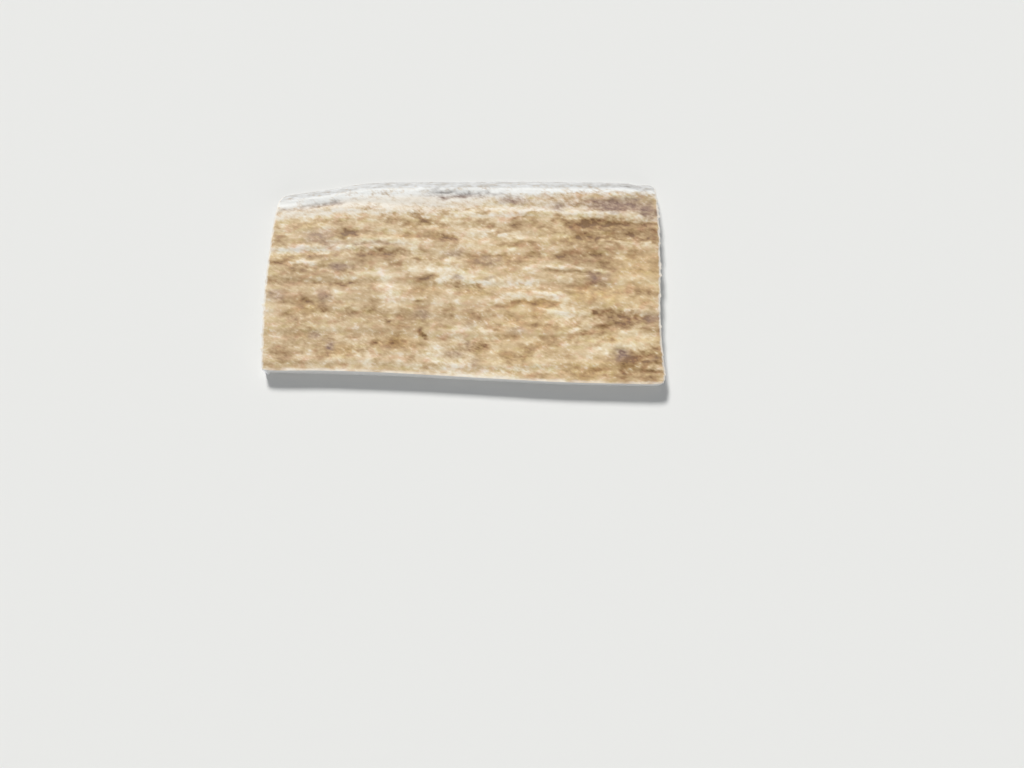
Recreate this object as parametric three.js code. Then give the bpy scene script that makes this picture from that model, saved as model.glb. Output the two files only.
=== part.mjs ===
// A slab sawn from a moose antler, the raw material of one knife-handle scale.
// It is one solid of bone. The top is the antler's own bark, with long low ridges and vein
// grooves along the grain. The front, the two ends and the flat underside are saw cuts. The back
// is the antler's natural edge: there the bark rolls over and slopes down to the underside.
//
// Millimetres. X runs along the grain, Y from the front cut to the natural back edge, Z up.
// The origin is at the centre of the underside, so the slab lies on z = 0.

import * as THREE from "three";

// Driving dimensions.
const FRONT_THICKNESS = 4.8; // at the front cut
const CROWN = 0.6; // how much the bark rises between the front cut and the crest of the back slope
const CROWN_CENTRE_Y = 2; // where the bark is highest
const CROWN_HALF_WIDTH = 35;
const BACK_SLOPE_WIDTH = 5.3; // from the crest of the natural edge to the slab's back edge
const BACK_SLOPE_POWER = 1.7; // above 1, the slope is rounded: level at the crest and steep at the edge
const BACK_EDGE_THICKNESS = 0.45; // of the blunt edge at the foot of the slope

// The slab's outline, as hand-sawn and grown, from corner to corner. The back edge is at the underside.
const FRONT_CUT = [
  [-60.45, -30.4],
  [-58.9, -30.8],
  [-42, -31],
  [-24, -31.6],
  [-6, -32.6],
  [12, -33.7],
  [30, -34.7],
  [48, -35.2],
  [58.9, -35.3],
  [60.6, -34.9],
];
const BACK_EDGE = [
  [-58.1, 29.8],
  [-56, 30.4],
  [-43, 32.4],
  [-34, 34.2],
  [-26, 34.9],
  [-7, 35.1],
  [12, 35.2],
  [31, 35.1],
  [49, 34.8],
  [52, 34.65],
  [54, 34.15],
  [55.6, 33.8],
  [57.4, 33.85],
  [59.1, 33.8],
  [60.2, 33.2],
];
const LEFT_CUT = [
  [-60.45, -30.4],
  [-60.6, -28.6],
  [-61, -19],
  [-61.2, -8],
  [-61, 1],
  [-60.5, 10],
  [-59.95, 18],
  [-59.1, 24.4],
  [-58.1, 29.8],
];
const RIGHT_CUT = [
  [60.6, -34.9],
  [61.1, -33.3],
  [61, -30],
  [60.55, -22],
  [60.5, -11],
  [61, 0],
  [61.2, 10],
  [61.25, 18],
  [61.05, 24],
  [60.75, 28.4],
  [60.75, 31.4],
  [60.2, 33.2],
];

// How far each cut leans in under the bark, at the underside. The two ends of the front cut differ.
const FRONT_UNDERCUT_LEFT = 0.3;
const FRONT_UNDERCUT_RIGHT = 1;
const END_UNDERCUT = 0.3;

// Ridges of the bark, and with a negative height the vein grooves between them:
// [start x, start y, end x, end y, width, height].
const RIDGES = [
  [-8, 23, 34, 21.4, 1.3, 0.2], // the long ridge behind the middle
  [28, 21.6, 62, 19.7, 1.4, 0.2],
  [33, 18.6, 62, 17.4, 1.4, -0.3],
  [39, 12, 62, 10.4, 1, 0.12],
  [-62, 9.6, -26, 9.9, 1.1, 0.12], // the long ridge at the left
  [-62, 7.2, -34, 7.6, 1, -0.1],
  [-41, 13, -14, 12.3, 1, 0.12],
  [-46, 10.9, -15, 10.6, 0.8, -0.1],
  [-34, 7.8, -17, 7.4, 1.5, -0.25],
  [-55, 4.6, -43, 4.2, 0.8, 0.2],
  [-52, 2.4, -36, 3, 0.8, -0.25],
  [-60, -1.3, -33, -3, 0.8, -0.15],
  [7, 14.2, 20, 12.5, 0.9, 0.2],
  [18, 3.1, 38, 2.2, 0.8, 0.2],
  [22, 1.5, 42, 0.6, 0.8, -0.2],
  [-4, -0.6, 14, -2.6, 0.9, 0.15],
  [12, -6, 34, -6.8, 1, 0.15],
  [11, -8.6, 31, -8.4, 0.9, -0.2],
  [38, -11.4, 62, -14.8, 1.4, -0.3],
  [35, -18.9, 49, -16.2, 1, -0.3],
  [43, -19.6, 62, -21, 1.5, 0.15],
  [44, -25.4, 60, -26.8, 1.8, -0.35],
  [52, -30.1, 62, -30.4, 0.7, 0.2],
  [49, -31.6, 62, -31.6, 0.8, -0.15],
  [-60, 21.9, -38, 25.6, 0.9, -0.3],
  [-14, 28.2, 7, 28.7, 0.9, -0.3],
  [40, 26, 54, 25.4, 1.3, -0.3],
  [-30, -22, -15, -22.6, 2, -0.2],
];
const RIDGE_FADE = 0.25; // the share of a ridge's length over which it dies out at each end

// Low waves of the bark along the grain: [wavelength across the grain, height, phase].
const WAVES = [
  [9.5, 0.09, 0.4],
  [5.6, 0.07, 2.1],
  [3.4, 0.05, 4],
];

// The mesh: more rows than columns, because the relief runs along the grain.
const COLUMNS = 44;
const BARK_ROWS = 58;
const SLOPE_ROWS = 8;
const COLUMN_CROWDING = 0.4; // 0 spaces the columns evenly, and more crowds them towards the two ends

const ROWS = BARK_ROWS + SLOPE_ROWS;
const MEAN_WIDTH = 66; // from the front cut to the back edge

const curve = (points) =>
  new THREE.CatmullRomCurve3(points.map(([x, y]) => new THREE.Vector3(x, y)));
const front = curve(FRONT_CUT);
const back = curve(BACK_EDGE);
const left = curve(LEFT_CUT);
const right = curve(RIGHT_CUT);

// The plan position at u from left to right and v from front to back, each 0 to 1: a Coons patch,
// which blends the four edges across and takes away what the corners count twice.
function planPoint(u, v) {
  const acrossY = front.getPointAt(u).lerp(back.getPointAt(u), v);
  const acrossX = left.getPointAt(v).lerp(right.getPointAt(v), u);
  const frontCorners = front.getPoint(0).lerp(front.getPoint(1), u);
  const backCorners = back.getPoint(0).lerp(back.getPoint(1), u);
  return acrossY.add(acrossX).sub(frontCorners.lerp(backCorners, v));
}

function ridgeHeight(x, y) {
  let height = 0;
  for (const [x0, y0, x1, y1, width, rise] of RIDGES) {
    const length = Math.hypot(x1 - x0, y1 - y0);
    const [alongX, alongY] = [(x1 - x0) / length, (y1 - y0) / length];
    const share = ((x - x0) * alongX + (y - y0) * alongY) / length;
    const aside = (y - y0) * alongX - (x - x0) * alongY;
    const fade =
      THREE.MathUtils.smoothstep(share, 0, RIDGE_FADE) *
      (1 - THREE.MathUtils.smoothstep(share, 1 - RIDGE_FADE, 1));
    height += rise * fade * Math.exp(-((aside / width) ** 2));
  }
  return height;
}

function waveHeight(x, y) {
  const wander = 0.9 * Math.sin(x / 22 + 0.8) + 0.4 * Math.sin(x / 8.3 + 2);
  return WAVES.reduce(
    (sum, [length, rise, phase]) =>
      sum + rise * Math.sin((2 * Math.PI * (y + wander)) / length + phase),
    0,
  );
}

// The bark's height over the underside, before the back slope takes it down.
function barkHeight(x, y) {
  const crown = CROWN * (1 - ((y - CROWN_CENTRE_Y) / CROWN_HALF_WIDTH) ** 2);
  return FRONT_THICKNESS + crown + ridgeHeight(x, y) + waveHeight(x, y);
}

// The share of the bark's height that is left at a distance from the back edge.
function slopeShare(distance) {
  const inward = Math.min(distance / BACK_SLOPE_WIDTH, 1);
  return 1 - (1 - inward) ** BACK_SLOPE_POWER;
}

function barkPoint(u, v) {
  const plan = planPoint(u, v);
  const toBack = plan.distanceTo(planPoint(u, 1));
  const full = barkHeight(plan.x, plan.y);
  const z =
    BACK_EDGE_THICKNESS + (full - BACK_EDGE_THICKNESS) * slopeShare(toBack);
  return new THREE.Vector3(plan.x, plan.y, z);
}

function columnShare(column) {
  const t = column / COLUMNS;
  return t - (COLUMN_CROWDING * Math.sin(2 * Math.PI * t)) / (2 * Math.PI);
}

function rowShare(row) {
  const crest = 1 - BACK_SLOPE_WIDTH / MEAN_WIDTH;
  if (row <= BARK_ROWS) return (crest * row) / BARK_ROWS;
  return crest + ((1 - crest) * (row - BARK_ROWS)) / SLOPE_ROWS;
}

// The point of the underside below a point of the rim, moved in by the lean of the cut that it belongs to.
function footPoint(column, row, rim) {
  const u = columnShare(column);
  const foot = new THREE.Vector3(rim.x, rim.y, 0);
  if (row === 0)
    foot.y += THREE.MathUtils.lerp(
      FRONT_UNDERCUT_LEFT,
      FRONT_UNDERCUT_RIGHT,
      u,
    );
  const lean = END_UNDERCUT * (rim.z / FRONT_THICKNESS);
  if (column === 0) foot.x += lean;
  if (column === COLUMNS) foot.x -= lean;
  return foot;
}

// The rim's grid positions [column, row], once round the slab, anticlockwise seen from above.
function rimLoop() {
  const loop = [];
  for (let column = 0; column < COLUMNS; column++) loop.push([column, 0]);
  for (let row = 0; row < ROWS; row++) loop.push([COLUMNS, row]);
  for (let column = COLUMNS; column > 0; column--) loop.push([column, ROWS]);
  for (let row = ROWS; row > 0; row--) loop.push([0, row]);
  return loop;
}

function slabGeometry() {
  const points = [];
  const triangles = [];
  const quad = (a, b, c, d) => triangles.push(a, b, c, a, c, d);

  // The bark.
  const barkIndex = (column, row) => row * (COLUMNS + 1) + column;
  for (let row = 0; row <= ROWS; row++)
    for (let column = 0; column <= COLUMNS; column++)
      points.push(barkPoint(columnShare(column), rowShare(row)));
  for (let row = 0; row < ROWS; row++)
    for (let column = 0; column < COLUMNS; column++)
      quad(
        barkIndex(column, row),
        barkIndex(column + 1, row),
        barkIndex(column + 1, row + 1),
        barkIndex(column, row + 1),
      );

  // The walls, from the rim of the bark down to the underside.
  const loop = rimLoop();
  const rim = loop.map(([column, row]) => barkIndex(column, row));
  const foot = loop.map(
    ([column, row], i) =>
      points.push(footPoint(column, row, points[rim[i]])) - 1,
  );
  for (let i = 0; i < loop.length; i++) {
    const next = (i + 1) % loop.length;
    quad(rim[i], foot[i], foot[next], rim[next]);
  }

  // The underside, a fan about its middle.
  const middle = points.push(new THREE.Vector3(0, 0, 0)) - 1;
  for (let i = 0; i < loop.length; i++)
    triangles.push(foot[(i + 1) % loop.length], foot[i], middle);

  const geometry = new THREE.BufferGeometry().setFromPoints(points);
  geometry.setIndex(triangles);
  geometry.computeVertexNormals();
  return geometry;
}

const bone = new THREE.MeshStandardMaterial({
  color: "#c9b28f",
  roughness: 0.75,
  metalness: 0,
});

const antlerSlab = new THREE.Mesh(slabGeometry(), bone);
antlerSlab.name = "antler_slab";

const part = new THREE.Group();
part.add(antlerSlab);

export default part;
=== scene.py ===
"""A slab sawn from a moose antler: brown bark on top, a worn white natural edge at the back, and
saw cuts at the front, at both ends and underneath.

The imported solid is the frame. A finer mesh of the same shape stands for it, with the bark's
grain, its chipped rims and its stains. The tables below are in millimetres, in the frame that the
solid has: X along the grain, Y from the front cut to the natural back edge, Z up.
"""

import math

import bpy
import mathutils
import numpy as np
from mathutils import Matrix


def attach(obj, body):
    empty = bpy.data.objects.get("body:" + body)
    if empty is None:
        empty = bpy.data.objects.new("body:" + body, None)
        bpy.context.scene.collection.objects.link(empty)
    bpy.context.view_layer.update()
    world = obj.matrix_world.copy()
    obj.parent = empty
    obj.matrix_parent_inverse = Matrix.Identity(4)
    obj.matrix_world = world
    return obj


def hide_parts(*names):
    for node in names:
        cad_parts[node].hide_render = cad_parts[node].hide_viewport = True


MM = 0.001

# -------------------- the slab's shape, as the solid has it

FRONT_THICKNESS = 4.8
CROWN = 0.6
CROWN_CENTRE_Y = 2
CROWN_HALF_WIDTH = 35
BACK_SLOPE_WIDTH = 5.3
BACK_SLOPE_POWER = 1.7
BACK_EDGE_THICKNESS = 0.45
FRONT_UNDERCUT_LEFT = 0.3
FRONT_UNDERCUT_RIGHT = 1
END_UNDERCUT = 0.3

FRONT_CUT = [
    (-60.45, -30.4), (-58.9, -30.8), (-42, -31), (-24, -31.6), (-6, -32.6), (12, -33.7), (30, -34.7),
    (48, -35.2), (58.9, -35.3), (60.6, -34.9),
]
BACK_EDGE = [
    (-58.1, 29.8), (-56, 30.4), (-43, 32.4), (-34, 34.2), (-26, 34.9), (-7, 35.1), (12, 35.2),
    (31, 35.1), (49, 34.8), (52, 34.65), (54, 34.15), (55.6, 33.8), (57.4, 33.85), (59.1, 33.8),
    (60.2, 33.2),
]
LEFT_CUT = [
    (-60.45, -30.4), (-60.6, -28.6), (-61, -19), (-61.2, -8), (-61, 1), (-60.5, 10), (-59.95, 18),
    (-59.1, 24.4), (-58.1, 29.8),
]
RIGHT_CUT = [
    (60.6, -34.9), (61.1, -33.3), (61, -30), (60.55, -22), (60.5, -11), (61, 0), (61.2, 10),
    (61.25, 18), (61.05, 24), (60.75, 28.4), (60.75, 31.4), (60.2, 33.2),
]

# Ridges of the bark, and with a negative height the vein grooves between them: start x, start y,
# end x, end y, width, height.
RIDGES = [
    (-8, 23, 34, 21.4, 1.3, 0.2), (28, 21.6, 62, 19.7, 1.4, 0.2), (33, 18.6, 62, 17.4, 1.4, -0.3),
    (39, 12, 62, 10.4, 1, 0.12), (-62, 9.6, -26, 9.9, 1.1, 0.12), (-62, 7.2, -34, 7.6, 1, -0.1),
    (-41, 13, -14, 12.3, 1, 0.12), (-46, 10.9, -15, 10.6, 0.8, -0.1), (-34, 7.8, -17, 7.4, 1.5, -0.25),
    (-55, 4.6, -43, 4.2, 0.8, 0.2), (-52, 2.4, -36, 3, 0.8, -0.25), (-60, -1.3, -33, -3, 0.8, -0.15),
    (7, 14.2, 20, 12.5, 0.9, 0.2), (18, 3.1, 38, 2.2, 0.8, 0.2), (22, 1.5, 42, 0.6, 0.8, -0.2),
    (-4, -0.6, 14, -2.6, 0.9, 0.15), (12, -6, 34, -6.8, 1, 0.15), (11, -8.6, 31, -8.4, 0.9, -0.2),
    (38, -11.4, 62, -14.8, 1.4, -0.3), (35, -18.9, 49, -16.2, 1, -0.3), (43, -19.6, 62, -21, 1.5, 0.15),
    (44, -25.4, 60, -26.8, 1.8, -0.35), (52, -30.1, 62, -30.4, 0.7, 0.2),
    (49, -31.6, 62, -31.6, 0.8, -0.15), (-60, 21.9, -38, 25.6, 0.9, -0.3),
    (-14, 28.2, 7, 28.7, 0.9, -0.3), (40, 26, 54, 25.4, 1.3, -0.3), (-30, -22, -15, -22.6, 2, -0.2),
]
RIDGE_FADE = 0.25  # the share of a ridge's length over which it dies out at each end

# Low waves of the bark along the grain: wavelength across the grain, height, phase. They wander
# across it as they run: reach, length, phase.
WAVES = [(9.5, 0.09, 0.4), (5.6, 0.07, 2.1), (3.4, 0.05, 4)]
WANDER = [(0.9, 22, 0.8), (0.4, 8.3, 2)]

# -------------------- the bark's colouring

# Each mark is an uneven blot: centre x, centre y, length, width, strength, and where it is turned
# from X, by how many degrees.
BROWN_STAINS = [
    # the left back quarter
    (-58.5, 17, 1.5, 1.2, 0.5), (-57.5, 12.8, 4, 2, 0.6, 20), (-50, 18, 8, 2.5, 0.3),
    (-43, 18.5, 5, 2, 0.3), (-37, 18.5, 4, 3, 0.45), (-37, 15, 6, 2.5, 0.9), (-31, 15.5, 5, 1.5, 0.35),
    (-24.5, 19.5, 5, 2.5, 0.5), (-20, 19.3, 3, 1.5, 0.6), (-15, 20.8, 3.5, 1.8, 0.9, -15),
    (-12.5, 18.8, 3.5, 1.6, 0.9, -35), (-9, 17.8, 4, 1.5, 0.6, -15), (-18, 17, 5, 1.6, 0.65),
    (-14, 17.8, 2, 1, 0.7, -30), (-17.5, 13.8, 5, 1.8, 0.5), (-11.5, 14.5, 6, 3, 0.45, -20),
    (-6.5, 14, 3, 1.2, 0.7, -30), (-5.3, 12.8, 3.5, 1.5, 1, -15), (-3, 11.5, 2, 1.5, 0.5, -20),
    (-5.5, 21, 4, 1.2, 0.55, -10), (-1, 19, 3, 1, 0.45), (-1.5, 22.6, 6, 0.8, 0.45, 3),
    (-28.5, 24, 3.5, 2, 0.35, 20), (-24, 8, 13, 2, 0.6, -4), (-27, 8, 5, 2, 0.7, -15),
    (-20.5, 8.6, 4, 1.8, 0.8), (-23.5, 7.2, 5, 1.5, 0.6), (-32, 7.2, 5, 1.8, 0.75, -8),
    (-53, 6.6, 8, 1.6, 0.45, 5), (-47, 6.8, 5, 1.6, 0.6), (-58, 7.6, 4, 1.2, 0.3, -25),
    (-58, 4.3, 6, 1.6, 0.65, -5), (-50, 3, 8, 1.2, 0.65, -5), (-52, 1, 8, 1.5, 0.5),
    (-37, 1.3, 5, 1.5, 0.6, -20), (-44, 3.8, 4, 1, 0.5), (-22, 4.2, 4, 1.1, 0.55),
    (-14, 5.5, 3, 1.1, 0.8), (-10, 5.4, 3, 1.3, 0.7, -20), (-13.5, 8.3, 2.5, 1.2, 0.5),
    (-12.5, -0.8, 8, 2, 0.7, 3), (-53, -1.7, 5, 1.5, 0.6), (-58.5, -1.5, 3, 1.5, 0.55),
    (-44, -2.3, 5, 1.3, 0.5, -8), (-37, -2.9, 7, 0.9, 0.8, -3), (-27, -2.2, 3, 2, 0.35),
    # the right back quarter
    (4, 22, 4, 1, 0.4), (28, 26.8, 3, 1, 0.5, -35), (31.5, 28, 6, 1, 0.4, 5), (34, 26, 5, 2, 0.35),
    (40, 22.8, 3, 0.8, 0.5, 10), (18, 20.3, 4, 0.9, 0.6, 20), (23, 21.1, 4, 0.9, 0.7, -3),
    (30, 20.7, 2.5, 1, 0.7, -20), (31.5, 19, 3, 1.3, 0.8, -45), (33, 17.5, 3, 1.6, 0.7),
    (35.5, 17, 4, 3, 0.35), (38.5, 17.8, 4, 3.5, 0.45), (42, 18, 4, 2.5, 1), (47.5, 18.6, 5, 2, 1),
    (51, 17.8, 3, 1.2, 0.8, -20), (45, 17, 12, 1.5, 0.6), (57.5, 17.8, 6, 1, 0.7, -3),
    (57, 15.8, 6, 1.2, 0.6, -15), (53.5, 13.5, 6, 1.8, 0.65, -20), (58.5, 12, 3, 3, 0.5),
    (37.5, 13, 4, 2, 0.95), (42, 12.8, 5, 1.3, 0.6), (34, 13.2, 3, 1, 0.6, -20),
    (31.7, 11.5, 2.5, 1.8, 0.75, 30), (30.5, 6.8, 3.5, 1.8, 0.85, 25), (33.5, 8, 3, 2, 0.6),
    (36, 7.5, 4, 1.5, 0.6, -25), (38, 9.5, 4, 1, 0.5, -30), (41, 8, 5, 1.5, 0.7, -30),
    (42.5, 10, 4, 1, 0.5, -25), (44, 6.5, 3, 1.5, 0.6, -20), (43, 4, 4, 3, 0.8, -30),
    (17, 17.3, 4, 3, 0.7, 20), (22, 18, 3, 2.5, 0.5, -20), (26, 16.8, 3, 1.5, 0.5, 10),
    (28, 18.8, 3, 1, 0.5), (8.5, 16.8, 6, 1.5, 0.45, -10), (10.2, 14.7, 1.5, 1.5, 0.6),
    (23, 13.8, 1.5, 0.8, 0.5), (12.5, 10.8, 4, 1.5, 0.6, 10), (16.5, 10.7, 2.5, 1.2, 0.55),
    (20, 11.2, 3, 1.2, 0.55, -20), (22.5, 7.5, 2, 1.5, 0.6), (18.5, 6, 2, 1, 0.6, 20),
    (4, 5.8, 6, 2, 0.5), (10.5, 6.8, 3, 1, 0.6), (27, 2, 4, 0.9, 0.6, -5), (32.5, 1.3, 6, 0.7, 0.7, -5),
    (37.5, 0.9, 4, 0.8, 0.7, -10), (52.5, 1.3, 3, 1, 0.4), (59, 2.5, 2.5, 2, 0.4), (52, 7, 3, 2.5, 0.5),
    (-3, -2.8, 5, 1.8, 0.7, -10), (1.5, -3.5, 5, 1.2, 0.7, -5),
    # the left front quarter
    (-54, -8.5, 6, 2, 0.35), (-47.5, -8.4, 3.5, 2, 0.9), (-49.5, -6.2, 3, 1.2, 0.4),
    (-42, -10.7, 4, 1.6, 0.85, -10), (-49.5, -10.5, 7, 2, 0.5), (-53, -13, 3.5, 2, 0.65, -15),
    (-34, -11.8, 4, 3, 0.55), (-27.5, -11.5, 5, 4.5, 0.7, -20), (-50.5, -16, 1.5, 3, 0.5),
    (-52, -18, 4, 2, 0.35), (-47, -17.5, 5, 2, 0.4, -35), (-40, -20.8, 2.5, 1.5, 0.8, -20),
    (-33, -20.5, 4, 1, 0.5, -5), (-22.5, -15.5, 3, 1.5, 0.6, -10), (-18.5, -16.8, 4, 2, 0.7, -10),
    (-19, -19.5, 3, 1, 0.5), (-17.5, -13, 4, 3, 0.55, -25), (-14, -8.8, 2, 1, 0.7),
    (-13, -10.5, 3, 1, 0.5), (-13, -18.3, 2.5, 1.2, 1, -50), (-11.8, -20, 2, 1.2, 1, -55),
    (-4, -11.5, 3, 3.5, 0.65, -20), (2, -12.3, 4, 2, 0.4, -10), (-26.5, -22.3, 3, 2, 0.6),
    (-20, -22.2, 9, 3.5, 0.5, -5), (-54, -26, 5, 4, 0.5, -10), (-51, -28.5, 8, 1.2, 0.4),
    (-36.5, -29, 4, 1.5, 0.5), (-26.3, -28.5, 2.5, 2, 0.55, -20), (-15.5, -27, 2, 2.5, 0.35),
    (-8, -29.3, 6, 1.5, 0.35),
    # the right front quarter
    (4.7, -3.7, 0.8, 2.5, 0.7, 20), (8.5, -6.2, 3, 0.9, 0.6), (16.5, -9.2, 4, 1.6, 0.8),
    (21.5, -8.9, 5, 1.8, 0.85, 5), (26.5, -9.1, 4, 1.6, 0.75, -5), (12, -10.3, 5, 0.8, 0.5),
    (14.5, -12.5, 3, 2, 0.4, -20), (23, -13, 3, 2, 0.45), (20, -16, 5, 1.5, 0.5, -10),
    (24, -16.5, 3, 2, 0.5, -20), (28, -16.8, 5, 2, 0.5), (10.5, -18, 3, 1.5, 0.45),
    (13, -20, 4, 1.2, 0.6, -5), (27.5, -20.5, 2.5, 1.5, 0.45), (24, -20.5, 2, 1, 0.5),
    (19.5, -24, 4, 1.5, 0.8, -20), (22.5, -23, 3, 1, 0.6), (13, -26, 4, 1.5, 0.5, -15),
    (18, -26.5, 3, 2, 0.4), (3, -23.3, 7, 3, 0.6), (4.5, -23.5, 3, 1.5, 0.7), (7, -23.2, 2.5, 1.5, 0.7),
    (37, -19, 5, 1.2, 0.75, 8), (42, -17.5, 4, 2, 0.85, 15), (40.5, -12.5, 2.5, 1.5, 0.8, -40),
    (43, -13, 4, 2, 1, -25), (47, -13.3, 4, 2, 1, -10), (49.5, -15.5, 3, 2.5, 1, -40),
    (54, -14.3, 6, 1.2, 0.65, -5), (56.5, -17.8, 7, 0.9, 0.7), (55, -15.7, 8, 0.8, 0.6),
    (54, -4.8, 3, 1, 0.8), (59, -6.5, 3, 2, 0.5), (50.5, -27.8, 3.5, 2.5, 1), (53.5, -27, 5, 3, 0.6),
    (57, -26.5, 5, 3, 0.7, -20), (58.5, -24.3, 3, 1.5, 0.65), (57.5, -28.5, 4, 1, 0.8, -15),
    (57.5, -31.3, 6, 0.9, 0.75), (49, -32, 3, 2.5, 0.75, -60), (39.5, -30.8, 4, 1.2, 0.7, 10),
    (37, -32.5, 4, 2, 0.5), (44, -32.5, 3, 1.5, 0.5), (33, -31, 5, 2, 0.4), (25, -32.8, 3, 1.2, 0.55),
    (14.5, -31, 3, 1, 0.4, -10), (55, -33, 5, 1.5, 0.5, -10), (46, -16.8, 6, 3.5, 0.6),
    (35, -16, 3, 3, 0.4),
    # shades over the whole bark, most of them broad
    (-50, -22, 14, 8, 0.12), (-45, 0, 16, 5, 0.12), (56, -11, 8, 10, 0.12), (50, 14.5, 26, 7, 0.55),
    (33, 16, 16, 4, 0.3), (15, 5.5, 6, 3, 0.4), (22, 6.5, 5, 2.5, 0.4), (34, 5.5, 9, 2.5, 0.5, -10),
    (40, -1, 9, 6, 0.55), (53, -28, 14, 6, 0.4, 10), (-37, 14.5, 9, 3, 0.3), (44, 18.3, 16, 2.6, 0.75),
    (47.5, -13.3, 6, 3, 0.8, -10), (44, -12.8, 5, 1.5, 0.5), (40.5, -1, 4, 2.5, 0.9, -20),
    (47.5, 24, 9, 2.2, 0.45), (54, 4, 12, 7, 0.15), (-36, 13.4, 3, 1.2, 0.3), (-20, 12.6, 4, 1.3, 0.35),
    (-20.3, 7, 2.5, 1.6, 0.5), (10.7, 15.2, 3, 1.6, 0.5), (38, 12.8, 3, 1.6, 0.6),
    (48.5, 18.5, 3, 1.5, 0.5), (29, -21.8, 6, 1.3, 0.45), (43.5, -21, 6, 1.3, 0.4),
    (34, -15.6, 2, 2, 0.5), (14.3, -14.8, 3, 1.8, 0.35), (6, -12, 4, 1.5, 0.35), (24, -13.8, 3, 2, 0.3),
    (54, -28, 3, 1.8, 0.6), (-27, -3.5, 4, 2, 0.25), (-14, -25.2, 4, 1.3, 0.35),
    (-8.5, 17.5, 4, 1.5, 0.4), (39, 12, 3, 1.6, 0.5), (43, 18, 3, 1.4, 0.4), (47.8, -14.6, 4, 1.5, 0.7),
    (44.3, -20.7, 5, 1.2, 0.3), (43.5, 1.3, 3, 2, 0.35), (54, -29.2, 3, 1.5, 0.6, -20),
    (51.5, -30, 4, 1.8, 0.7, -20), (-43, 12.2, 3, 2, 0.35), (-24, -14.3, 3, 3, 0.25),
    (11, -7, 3, 2, 0.3), (20.5, -8.5, 3, 1.2, 0.35), (12.5, 10.2, 5, 1.5, 0.3), (23, 6.5, 3, 1.5, 0.3),
    # more shades between them
    (-36, 13.8, 3.5, 1.6, 0.6, -20), (-25, 14.3, 5, 1.5, 0.35), (-17, 17.2, 3, 1.6, 0.5),
    (-12, 12.8, 8, 2, 0.45), (-8, 17.8, 5, 2, 0.45), (-44, 6.5, 7, 1.8, 0.5), (-54, 5.3, 5, 1.2, 0.5),
    (-33, 5.5, 3, 2.5, 0.4), (-31, 2.8, 8, 2, 0.45), (-25, 6.5, 6, 2, 0.5, -30), (-6, 5.8, 5, 1.5, 0.4),
    (-53, -2.5, 8, 2, 0.45), (-43, -3, 7, 1.5, 0.45), (-12, -5.5, 6, 3, 0.5, -20),
    (-47, -12.5, 6, 4, 0.5), (-53, -14, 4, 2, 0.35), (-37, -13.5, 5, 3, 0.5, -20),
    (-16, -15, 7, 1.8, 0.6), (-49.5, -21, 5, 2, 0.55), (-53, -23.2, 4, 2, 0.5), (-38, -25, 9, 3, 0.7),
    (-30, -24, 6, 3, 0.4), (-26.5, -27, 4, 3, 0.4), (-18, -23, 10, 2.5, 0.4), (-55, -26.5, 6, 1.5, 0.4),
    (3, 17.5, 7, 2.5, 0.35), (16, 16.5, 4, 2.5, 0.5), (38, 13, 3.5, 2, 0.8), (42.5, 17.8, 5, 2, 0.7),
    (50, 17.5, 5, 2, 0.5), (56, 16.2, 4.5, 2.5, 0.7), (57, 12, 6, 2, 0.55), (31, 11, 4, 1.8, 0.5),
    (44, 12.5, 5, 1.2, 0.4), (13.5, 10.3, 4, 1.5, 0.5), (22.5, 6.5, 3.5, 2, 0.55), (35, 6.5, 4, 2, 0.5),
    (44, 6, 4, 2, 0.45), (15, 6, 3, 2.5, 0.45), (11, 4, 12, 4, 0.3), (44.5, 3, 3, 2.5, 0.4),
    (1.5, -5, 7, 2.5, 0.75), (12, -4.8, 8, 1.5, 0.35), (28, -4.8, 8, 2, 0.35), (38.5, -7, 3, 2.5, 0.4),
    (46, -4.8, 8, 1.5, 0.35), (54.5, -5, 7, 3.5, 0.7), (14.5, -14, 3, 3, 0.55),
    (6, -15.5, 6, 2, 0.4, -20), (25, -10.5, 5, 1.5, 0.4), (34, -15.5, 3, 2.5, 0.5),
    (41, -14.5, 4, 2, 0.6), (47, -13.5, 9, 2.5, 0.85), (55, -14.5, 8, 2, 0.6),
    (46, -17.5, 8, 2, 0.5, 5), (43, -20, 4, 1.5, 0.4), (12.5, -21, 5, 2.5, 0.55),
    (25, -23, 4, 3, 0.65, -30), (32, -21.5, 4, 2, 0.4), (3, -25, 8, 3, 0.35), (16, -28, 6, 2.5, 0.55),
    (20, -25, 4, 2, 0.45), (29, -27, 6, 5, 0.3), (51, -31, 5, 3, 0.45, -30), (54, -28.3, 5, 2, 0.35),
    (58, -32.5, 4, 2, 0.4),
]
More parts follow.
